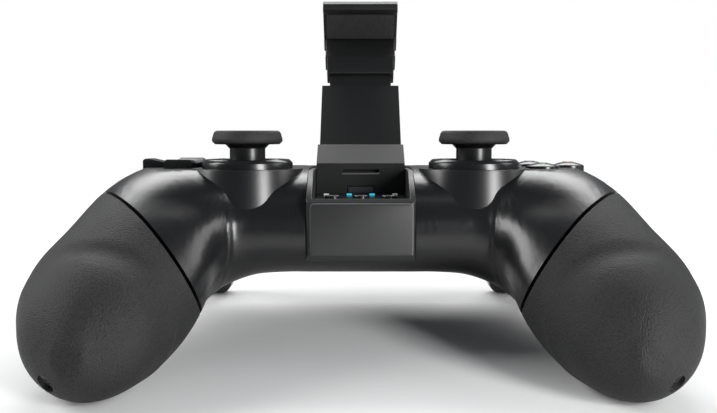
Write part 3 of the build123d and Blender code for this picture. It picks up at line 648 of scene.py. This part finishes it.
@dataclass
class Workshop:
    """Models small new pieces with the deck level and hands them over as the pad stands."""

    finishes: Finishes
    turned_angle: float = 28.0
    corner_steps: int = 5
    edge_steps: int = 3

    def finish(self, obj: bpy.types.Object, name: str, finish: str, body: Body,
               angle: float = 30.0) -> bpy.types.Object:
        """Merge, shade and place a piece.

        Args:
            obj: the piece, in object mode.
            name: its name.
            finish: the finish's name.
            body: the moving body that it rides on.
            angle: degrees over which an edge stays sharp.

        Returns:
            The piece.
        """
        obj.name = name
        select_only(obj)
        obj.matrix_world = rest_matrix() @ obj.matrix_world
        bpy.ops.object.transform_apply(location=True, rotation=True, scale=True)
        bpy.ops.object.mode_set(mode="EDIT")
        bpy.ops.mesh.select_all(action="SELECT")
        bpy.ops.mesh.remove_doubles(threshold=MERGE)
        bpy.ops.mesh.normals_make_consistent(inside=False)
        bpy.ops.object.mode_set(mode="OBJECT")
        bpy.ops.object.shade_smooth_by_angle(angle=math.radians(angle))
        self.finishes.give(obj, finish)
        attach(obj, body.value)
        log.info("%s made", name)
        return obj

    def turned(self, name: str, outline: list[Spot], centre: Spot, finish: str, body: Body,
               closed: bool = True, sides: int = 96) -> bpy.types.Object:
        """Turn an outline round an upright axis.

        Args:
            name: the piece's name.
            outline: distances from the axis and heights, in millimetres.
            centre: place of the axis across the pad and in depth.
            finish: the finish's name.
            body: the body that it rides on.
            closed: whether the outline runs back to its start, else both ends are filled.
            sides: number of sides of the circle.

        Returns:
            The piece.
        """
        select_none()
        radius, height = outline[0]
        bpy.ops.mesh.primitive_circle_add(
            vertices=sides, radius=radius * MM, location=(centre[0] * MM, centre[1] * MM, height * MM),
            fill_type="NOTHING" if closed else "NGON")
        obj = bpy.context.object
        bpy.ops.object.transform_apply(location=True)
        bpy.ops.object.mode_set(mode="EDIT")
        bpy.ops.mesh.select_all(action="SELECT")
        for (before, low), (after, high) in zip(outline, outline[1:] + (outline[:1] if closed else [])):
            if closed:
                bpy.ops.mesh.extrude_edges_move(TRANSFORM_OT_translate={"value": (0, 0, (high - low) * MM)})
            else:
                bpy.ops.mesh.extrude_region_move(TRANSFORM_OT_translate={"value": (0, 0, (high - low) * MM)})
            share = after / before
            bpy.ops.transform.resize(
                value=(share, share, 1), center_override=(centre[0] * MM, centre[1] * MM, high * MM))
        bpy.ops.object.mode_set(mode="OBJECT")
        return self.finish(obj, name, finish, body, self.turned_angle)

    def plate(self, name: str, middle: Place, size: Place, finish: str, body: Body, corner: float,
              edge: float) -> bpy.types.Object:
        """Make an upright plate with rounded corners and a rounded edge round its front.

        Args:
            name: the piece's name.
            middle: its centre in millimetres.
            size: its length along each axis in millimetres.
            finish: the finish's name.
            body: the body that it rides on.
            corner: radius of the corners, seen from the front.
            edge: radius of the edge round the front.

        Returns:
            The piece.
        """
        select_none()
        bpy.ops.mesh.primitive_cube_add(size=1.0, location=[c * MM for c in middle])
        obj = bpy.context.object
        obj.scale = [c * MM for c in size]
        bpy.ops.object.transform_apply(location=True, scale=True)
        mesh = obj.data
        for corners, width, steps in ((True, corner, self.corner_steps), (False, edge, self.edge_steps)):
            bpy.ops.object.mode_set(mode="EDIT")
            bpy.ops.mesh.select_all(action="DESELECT")
            bpy.ops.mesh.select_mode(type="EDGE")
            bpy.ops.object.mode_set(mode="OBJECT")
            front = min(point.co.y for point in mesh.vertices)
            for line in mesh.edges:
                ends = [mesh.vertices[v].co for v in line.vertices]
                runs_back = abs((ends[1] - ends[0]).normalized().y) > 0.99
                at_front = all(abs(end.y - front) < 0.0001 * MM for end in ends)
                line.select = runs_back if corners else at_front and not runs_back
            bpy.ops.object.mode_set(mode="EDIT")
            bpy.ops.mesh.bevel(offset=width * MM, segments=steps, affect="EDGES")
            bpy.ops.object.mode_set(mode="OBJECT")
        return self.finish(obj, name, finish, body)


@dataclass(frozen=True)
class Lamp:
    """One soft rectangular lamp, in metres and watts."""

    name: str
    place: Place
    target: Place
    size: Spot
    power: float

    def hang(self) -> None:
        """Add the lamp, facing its target."""
        data = bpy.data.lights.new(self.name, "AREA")
        data.shape, data.energy = "RECTANGLE", self.power
        data.size, data.size_y = self.size
        obj = bpy.data.objects.new(self.name, data)
        bpy.context.scene.collection.objects.link(obj)
        obj.location = self.place
        obj.rotation_euler = (Vector(self.target) - Vector(self.place)).to_track_quat("-Z", "Y").to_euler()


@dataclass
class Studio:
    """Camera, lights, floor and backdrop."""

    lens: float = FILM_WIDTH * 900.0 / PHOTO_WIDTH
    eye_across: float = -0.6
    eye_back: float = 250.0
    eye_height: float = 62.0
    look_down: float = 4.54
    lamps: tuple[Lamp, ...] = (
        Lamp("left box", (-0.66, 0.05, 0.40), (0, 0, 0.03), (0.40, 0.45), 5.0),
        Lamp("right box", (0.66, 0.05, 0.40), (0, 0, 0.03), (0.40, 0.40), 2.2),
        Lamp("back box", (0.0, 0.80, 0.75), (0, 0, 0.03), (1.2, 0.5), 12.0),
        Lamp("front strip", (0.36, -0.46, 0.16), (0, 0, 0.04), (0.17, 0.40), 5.0),
    )
    sky: Colour = (0.9, 0.95, 1.0)
    sky_strength: float = 0.16
    floor_size: float = 4.0
    floor_low: Colour = (0.84, 0.84, 0.84)
    floor_high: Colour = (0.87, 0.87, 0.87)
    fade_from: float = 0.15
    fade_over: float = 0.25
    fade_curve: float = 0.7

    def camera(self) -> None:
        """Place the camera at the photograph's viewing angle."""
        data = bpy.data.cameras.new("camera")
        data.lens, data.sensor_width = self.lens, FILM_WIDTH
        data.clip_start = 0.01
        eye = bpy.data.objects.new("camera", data)
        bpy.context.scene.collection.objects.link(eye)
        eye.location = to_rest(self.eye_across, -self.eye_back, self.eye_height)
        eye.rotation_euler = (math.radians(90.0 - self.look_down) - REST_ANGLE, 0, 0)
        bpy.context.scene.camera = eye

    def surroundings(self) -> None:
        """Light the pad softly from all round and show white to the camera."""
        world = bpy.data.worlds.new("surroundings")
        bpy.context.scene.world = world
        world.use_nodes = True
        tree = Tree(world.node_tree)
        soft, white = (
            tree.node("ShaderNodeBackground", {}, {"Color": (*colour, 1), "Strength": strength})["Background"]
            for colour, strength in ((self.sky, self.sky_strength), ((1, 1, 1), 1.0))
        )
        seen = tree.node("ShaderNodeLightPath")["Is Camera Ray"]
        mixed = tree.node("ShaderNodeMixShader", {}, {0: seen, 1: soft, 2: white})["Shader"]
        tree.node("ShaderNodeOutputWorld", {}, {"Surface": mixed})

    def floor(self) -> None:
        """Lay a pale floor that fades into the white surroundings."""
        select_none()
        bpy.ops.mesh.primitive_plane_add(size=self.floor_size, location=(0, 0, 0))
        floor = bpy.context.object
        floor.name = "floor"
        graph = Graph("floor")
        graph.feed("Base Color", graph.blend(self.floor_low, self.floor_high, graph.noise(8.0)))
        graph.feed("Roughness", 0.75)
        graph.feed("Specular IOR Level", 0.1)
        reach = graph.node("ShaderNodeVectorMath", {"operation": "LENGTH"}, {0: graph.place()})["Value"]
        gone = ((reach - self.fade_from) / self.fade_over).clamp() ** self.fade_curve
        graph.feed("Alpha", 1.0 - gone)
        floor.data.materials.append(graph.material)

    def build(self) -> None:
        """Build the camera, the lamps, the white surroundings and the floor."""
        self.camera()
        for lamp in self.lamps:
            lamp.hang()
        self.surroundings()
        bpy.context.scene.view_settings.view_transform = "Standard"
        self.floor()


@dataclass
class Towers:
    """The two stick towers' smooth round walls and their chamfered rings."""

    workshop: Workshop
    across: float = 31.0
    back: float = -3.0
    radius: float = 15.05
    top: float = 52.9
    foot: float = 38.0
    wall: float = 0.5
    wall_back: float = 4.0
    wall_round: float = 0.25
    round_shares: Spot = (0.32, 0.24)
    proud: float = 0.01
    ring_radius: float = 12.35
    ring_bore: float = 10.25
    ring_top: float = 55.4
    ring_low: float = 52.6
    ring_chamfer: float = 0.9
    chamfer_soft: Spot = (0.05, 0.12)
    chamfer_top: float = 0.15
    bore_round: float = 0.45
    bore_soft: float = 0.12
    sides: int = 128

    def wall_outline(self) -> list[Spot]:
        """Outline of a tower's wall, as distances from the axis and heights."""
        radius, top = self.radius, self.top
        inwards, down = (self.wall_round * share for share in self.round_shares)
        return [
            (radius - self.wall, self.foot), (radius, self.foot), (radius, top - self.wall_round),
            (radius - inwards, top - down), (radius - self.wall_round, top + self.proud),
            (radius - self.wall, top + self.proud),
        ]

    def ring_outline(self) -> list[Spot]:
        """Outline of a ring, as distances from the axis and heights."""
        outer, bore, high, slope = self.ring_radius, self.ring_bore, self.ring_top, self.ring_chamfer
        inwards, down = self.chamfer_soft
        return [
            (bore, self.ring_low), (outer, self.ring_low), (outer, high - slope - down),
            (outer - inwards, high - slope), (outer - slope, high - inwards),
            (outer - slope - self.chamfer_top, high), (bore + self.bore_round, high),
            (bore + self.bore_soft, high - self.bore_soft), (bore, high - self.bore_round),
        ]

    def build(self) -> None:
        """Turn both walls, cut them off behind, and turn both rings."""
        backwards = (to_rest(0, 1, 0) - to_rest(0, 0, 0)).normalized()
        for side, hand in SIDES:
            centre = (hand * self.across, self.back)
            wall = self.workshop.turned(
                f"tower_wall_{side}", self.wall_outline(), centre, "shell", Body.HOUSING, sides=self.sides)
            select_only(wall)
            bpy.ops.object.mode_set(mode="EDIT")
            bpy.ops.mesh.select_all(action="SELECT")
            bpy.ops.mesh.bisect(
                plane_co=to_rest(0, self.wall_back, self.foot), plane_no=backwards, use_fill=True,
                clear_outer=True, threshold=0.01 * MM)
            bpy.ops.object.mode_set(mode="OBJECT")
            ring = self.workshop.turned(
                f"stick_ring_{side}_skin", self.ring_outline(), centre, "ring", Body.HOUSING,
                sides=self.sides)
            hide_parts(f"stick_ring_{side}")


@dataclass
class Valley:
    """The soft valley in the upper housing's front, below the stick towers."""

    towers: Towers
    level_foot: float = 30.0
    level_step: float = 1.2
    levels: int = 19
    column_first: float = 15.6
    column_step: float = 1.7
    columns: int = 28
    fade_to: float = 60.0
    fade_over: float = 14.0
    fade_curve: float = 1.5
    front_limit: float = -13.5
    facing: float = -0.2
    beside_tower: float = 0.2
    bottom: float = 44.2
    climb: float = 0.03
    half_width: float = 3.1
    depth: float = 1.7
    rounds: int = 30

    def strength(self, point: bpy.types.MeshVertex) -> float:
        """Share of the valley's full depth at a point of the skin.

        Args:
            point: a point of the upper housing.

        Returns:
            The share, which is nothing on the towers and away from the front.
        """
        place = to_level(point.co)
        side = abs(place.x)
        reach = math.hypot(side - self.towers.across, place.y - self.towers.back)
        if place.y >= self.front_limit or point.normal.y >= self.facing:
            return 0.0
        if reach <= self.towers.radius - self.beside_tower:
            return 0.0
        fade = max(0.0, min(1.0, (self.fade_to - side) / self.fade_over)) ** self.fade_curve
        middle = self.bottom + (side - self.towers.across) * self.climb
        return math.exp(-((place.z - middle) / self.half_width) ** 2) * fade

    def press(self, shell: bpy.types.Object) -> None:
        """Cut the skin into small cells, press the valley in and calm the skin.

        Args:
            shell: the dressed upper housing.
        """
        select_only(shell)
        upright = to_rest(0, 0, 1) - to_rest(0, 0, 0)
        levels = [
            (to_rest(0, 0, self.level_foot + step * self.level_step), upright) for step in range(self.levels)
        ]
        columns = [
            (to_rest(hand * (self.column_first + step * self.column_step), 0, 0), Vector((1, 0, 0)))
            for step in range(self.columns) for _, hand in SIDES
        ]
        bpy.ops.object.mode_set(mode="EDIT")
        for place, normal in levels + columns:
            bpy.ops.mesh.select_all(action="SELECT")
            bpy.ops.mesh.bisect(plane_co=place, plane_no=normal, threshold=0.0001 * MM)
        bpy.ops.object.mode_set(mode="OBJECT")
        dent = shell.vertex_groups.new(name="valley")
        for point in shell.data.vertices:
            strength = self.strength(point)
            if strength > 0.01:
                dent.add([point.index], strength, "REPLACE")
        press = shell.modifiers.new("valley", "DISPLACE")
        press.direction, press.vertex_group = "Y", "valley"
        press.mid_level, press.strength = 0.0, self.depth * MM
        bpy.ops.object.modifier_apply(modifier="valley")
        calm(shell, self.rounds)


@dataclass
class Rims:
    """Strips that close the thin places of the deck's rim, at the back and beside the two pods."""

    workshop: Workshop
    shell: bpy.types.Object
    deck: float = 51.4
    over: float = 58.0
    dip: float = 0.03
    sink: float = 0.03
    thickness: float = 0.3
    rear_side: float = 13.6
    rear_side_step: float = 1.6
    rear_rows: int = 18
    rear_back: float = 36.8
    rear_back_step: float = 0.4
    rear_places: int = 15
    pod_across: float = 50.8
    pod_back: float = 11.8
    pod_inner: float = 14.35
    pod_outer: float = 16.3
    pod_shift: float = 1.0
    pod_rows: int = 41
    pod_places: int = 10
    first_turn: float = -70.0
    turn_step: float = 3.75
    button_turn: float = 15.0

    def skin_height(self, across: float, back: float) -> float | None:
        """Height of the outer skin over a point with the deck level, or nothing where an opening is.

        Args:
            across: place across the pad in millimetres.
            back: place in depth in millimetres.

        Returns:
            The height in millimetres, or None.
        """
        down = (to_rest(0, 0, -1) - to_rest(0, 0, 0)).normalized()
        found, place, normal, _ = self.shell.ray_cast(to_rest(across, back, self.over), down)
        if not found or normal.dot(down) > -0.2:
            return None
        return to_level(place).z

    def row_heights(self, row: list[Spot]) -> list[float]:
        """Heights of one row of a strip, just under the skin and running on over the gap.

        Args:
            row: places from the deck outwards.

        Returns:
            The height of each place in millimetres.
        """
        heights, lowest = [self.skin_height(*point) for point in row], 0.0
        for place in reversed(range(len(row))):
            if heights[place] is None or heights[place] < lowest - self.dip:
                heights[place] = None
            else:
                lowest = heights[place]
        found = [place for place, height in enumerate(heights) if height is not None]
        done = []
        for place, height in enumerate(heights):
            if height is not None:
                done.append(height - self.sink)
                continue
            below, above = [n for n in found if n < place], [n for n in found if n > place]
            low, high = below[-1] if below else above[1], above[0] if above else below[-2]
            share = (place - low) / (high - low)
            done.append(min(heights[low] + (heights[high] - heights[low]) * share, self.deck))
        return done

    def strip(self, name: str, rows: list[list[Spot]]) -> None:
        """Close a thin place with a strip that runs on from the skin on both sides.

        Args:
            name: the strip's name.
            rows: places across the strip from the deck outwards, row after row.
        """
        select_none()
        rows = [row for row in rows if all(self.skin_height(*point) is not None for point in row[-2:])]
        across, along = len(rows[0]), len(rows)
        bpy.ops.mesh.primitive_grid_add(x_subdivisions=across - 1, y_subdivisions=along - 1, size=1.0)
        strip = bpy.context.object
        for line, row in enumerate(rows):
            for place, ((x, y), height) in enumerate(zip(row, self.row_heights(row))):
                strip.data.vertices[line * across + place].co = (x * MM, y * MM, height * MM)
        wall = strip.modifiers.new("wall", "SOLIDIFY")
        wall.thickness, wall.offset = self.thickness * MM, -1.0
        select_only(strip)
        bpy.ops.object.mode_set(mode="EDIT")
        bpy.ops.mesh.select_all(action="SELECT")
        bpy.ops.mesh.normals_make_consistent(inside=False)
        bpy.ops.object.mode_set(mode="OBJECT")
        if strip.data.polygons[0].normal.z < 0:
            bpy.ops.object.mode_set(mode="EDIT")
            bpy.ops.mesh.flip_normals()
            bpy.ops.object.mode_set(mode="OBJECT")
        bpy.ops.object.modifier_apply(modifier="wall")
        self.workshop.finish(strip, name, "shell", Body.HOUSING)

    def rear_places_of(self, hand: int) -> list[list[Spot]]:
        """Places of a rear strip, row after row from the clamp's channel outwards.

        Args:
            hand: minus one for the left, one for the right.

        Returns:
            The rows, each from the deck backwards.
        """
        return [
            [
                (
                    hand * (self.rear_side + step * self.rear_side_step),
                    self.rear_back + place * self.rear_back_step,
                )
                for place in range(self.rear_places)
            ]
            for step in range(self.rear_rows)
        ]

    def pod_places_of(self, hand: int) -> list[list[Spot]]:
        """Places of a pod's strip, row after row round the pod from the front.

        Args:
            hand: minus one for the left, one for the right.

        Returns:
            The rows, each from the pod outwards.
        """
        rows = []
        for step in range(self.pod_rows):
            angle = self.first_turn + step * self.turn_step
            inner = self.pod_inner if abs(angle) < self.button_turn else self.pod_inner - self.pod_shift
            turn = math.radians(angle)
            wide = self.pod_outer - inner
            reaches = [inner + wide * place / (self.pod_places - 1) for place in range(self.pod_places)]
            rows.append([
                (hand * (self.pod_across + reach * math.cos(turn)), self.pod_back + reach * math.sin(turn))
                for reach in reaches
            ])
        return rows

    def build(self) -> None:
        """Make the rear strip and the pod's strip on each side."""
        for side, hand in SIDES:
            self.strip(f"rear_rim_{side}", self.rear_places_of(hand))
            self.strip(f"pod_rim_{side}", self.pod_places_of(hand))


@dataclass
class Housing:
    """Upper and lower housing, grips, stick towers, shoulder keys and triggers."""

    dresser: Dresser
    workshop: Workshop
    skin_angle: float = 14.0
    bottom_rounds: int = 20
    grip_rounds: int = 24

    def build(self) -> None:
        """Dress the pieces that make up the housing."""
        towers = Towers(self.workshop)
        shell = self.dresser.dress("shell_top", "shell", angle=self.skin_angle)
        Valley(towers).press(shell)
        Rims(self.workshop, shell).build()
        calm(self.dresser.dress("shell_bottom", "shell_dark", angle=self.skin_angle), self.bottom_rounds)
        towers.build()
        for side, _ in SIDES:
            calm(self.dresser.dress(f"grip_{side}", "grip"), self.grip_rounds)
            self.dresser.dress(f"bumper_{side}", "shell")
            self.dresser.dress(f"trigger_{side}", "shell")
        self.dresser.dress("housing_screws", "black_steel")


@dataclass
class Controls:
    """Stick caps, direction pad, face buttons, centre module and its panel."""

    dresser: Dresser
    workshop: Workshop
    stem_top: float = 59.7
    light_near: float = 6.0
    light_drop: float = 0.55
    face_across: float = 50.8
    face_back: float = 11.8
    face_offset: float = 9.4
    face_top: float = 54.3
    dot_radius: float = 1.5
    dot_edge: float = 0.1
    dot_sunk: float = 0.3
    dot_wall_top: float = 0.02
    dot_proud: float = 0.03
    dot_sides: int = 40
    plate_middle: Place = (0.2, -20.85, 37.9)
    plate_size: Place = (26.6, 0.5, 13.4)
    plate_corner: float = 1.2
    plate_edge: float = 0.22

    def build(self) -> None:
        """Dress the control pieces."""
        for side, _ in SIDES:
            cap = self.dresser.dress(f"stick_cap_{side}", "stick_rubber")
            self.dresser.finishes.second(cap, "shell", lambda place, normal: place.z < self.stem_top)
        self.front_plate()
        self.marks()
        self.dresser.dress("d_pad", "keycap", 0.25)
        for name in ("north", "east", "south", "west"):
            self.dresser.dress(f"button_{name}", "keycap")
        for name in ("left", "home", "right"):
            self.dresser.dress(f"key_{name}", "keycap")
        self.dresser.dress("centre_module", "module", 0.3)
        self.dresser.dress("panel_plate", "panel", 0.15)
        self.lights()

    def lights(self) -> None:
        """Dress the panel's light windows, the inner ones cyan, and lower their tops toward the panel."""
        lights = self.dresser.dress("panel_lights", "pale_light")
        self.dresser.finishes.second(
            lights, "cyan_light", lambda place, normal: abs(place.x) < self.light_near)
        select_only(lights)
        bpy.ops.object.mode_set(mode="EDIT")
        bpy.ops.mesh.select_mode(type="VERT")
        bpy.ops.mesh.select_all(action="DESELECT")
        bpy.ops.object.mode_set(mode="OBJECT")
        points = lights.data.vertices
        middle = sum(to_level(point.co).z for point in points) / len(points)
        for point in points:
            point.select = to_level(point.co).z > middle
        bpy.ops.object.mode_set(mode="EDIT")
        bpy.ops.transform.translate(value=(0, 0, -self.light_drop * MM))
        bpy.ops.object.mode_set(mode="OBJECT")

    def front_plate(self) -> None:
        """Cover the centre module's front with a plate whose rounded edge catches the light and is painted a
        lighter grey as a painted highlight.
        """
        plate = self.workshop.plate(
            "front_plate", self.plate_middle, self.plate_size, "module", Body.HOUSING, self.plate_corner,
            self.plate_edge)
        # Painted highlight: the faces of the rounded edge get a lighter grey.
        self.workshop.finishes.second(plate, "painted_edge_highlight", lambda place, normal: -0.97 < normal.y < -0.2)

    def marks(self) -> None:
        """Sink a small coloured dot into the top of each face button, whose finish gives it a painted glow.
        """
        radius, top = self.dot_radius, self.face_top
        dot = [
            (radius, top - self.dot_sunk), (radius, top - self.dot_wall_top),
            (radius - self.dot_edge, top + self.dot_proud),
        ]
        for body, degrees, finish in ((Body.EAST, 0, "red_mark_painted_glow"), (Body.NORTH, 90, "pale_mark_painted_glow"),
                                      (Body.WEST, 180, "pale_mark_painted_glow"), (Body.SOUTH, 270, "green_mark_painted_glow")):
            turn = math.radians(degrees)
            centre = (
                self.face_across + self.face_offset * math.cos(turn),
                self.face_back + self.face_offset * math.sin(turn),
            )
            self.workshop.turned(
                f"mark_{body.name.lower()}", dot, centre, finish, body, closed=False, sides=self.dot_sides)


@dataclass
class Clamp:
    """Phone clamp: base, tongue, upper jaw, pads, catch, pin and spring drum."""

    dresser: Dresser
    workshop: Workshop
    lip_middle: Place = (0, 2.98, 51.18)
    lip_size: Place = (10.6, 0.3, 0.5)
    lip_corner: float = 0.2
    lip_edge: float = 0.1

    def build(self) -> None:
        """Dress the clamp's pieces and add the lip of its slot, in a lighter grey as a painted highlight."""
        self.dresser.dress("clamp_base", "clamp", 0.3)
        self.dresser.dress("jaw_slider", "clamp", 0.2)
        self.dresser.dress("upper_jaw", "clamp", 0.35)
        self.dresser.dress("fold_catch", "tab", 0.2)
        self.dresser.dress("lower_jaw_pad", "pad_rubber")
        self.dresser.dress("upper_jaw_pad", "pad_rubber")
        self.dresser.dress("clamp_pin", "steel")
        # The slot's lip is a thin plate painted lighter grey, a painted highlight along the slot's edge.
        self.workshop.plate(
            "slot_lip", self.lip_middle, self.lip_size, "painted_edge_highlight", Body.CLAMP, self.lip_corner,
            self.lip_edge)
        self.dresser.dress("jaw_spring", "steel")


@dataclass
class Inside:
    """Board, battery, socket, stick modules and springs."""

    dresser: Dresser
    finish_of: dict[str, str] = field(default_factory=lambda: {
        "main_board": "board", "battery": "battery", "charging_port": "steel", "key_board_left": "board",
        "key_board_right": "board", "contact_sheet_left": "silicone", "contact_sheet_right": "silicone",
        "stick_module_left": "inner", "stick_module_right": "inner", "stick_rocker_left": "inner",
        "stick_rocker_right": "inner", "stick_shaft_left": "inner", "stick_shaft_right": "inner",
        "d_pad_pivot": "inner", "trigger_pins": "steel", "trigger_springs": "steel",
    })

    def build(self) -> None:
        """Dress the inner pieces."""
        for node, finish in self.finish_of.items():
            self.dresser.dress(node, finish)


def main() -> None:
    """Load the frame and build every group in order."""
    logging.basicConfig(level=logging.INFO, format="%(message)s")
    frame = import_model()
    finishes = Finishes()
    finishes.build()
    dresser, workshop = Dresser(frame["nodes"], finishes), Workshop(finishes)
    groups = (
        Studio(), Housing(dresser, workshop), Controls(dresser, workshop), Clamp(dresser, workshop),
        Inside(dresser),
    )
    for group in groups:
        group.build()
        log.info("%s built", type(group).__name__)


if __name__ == "__main__":
    main()
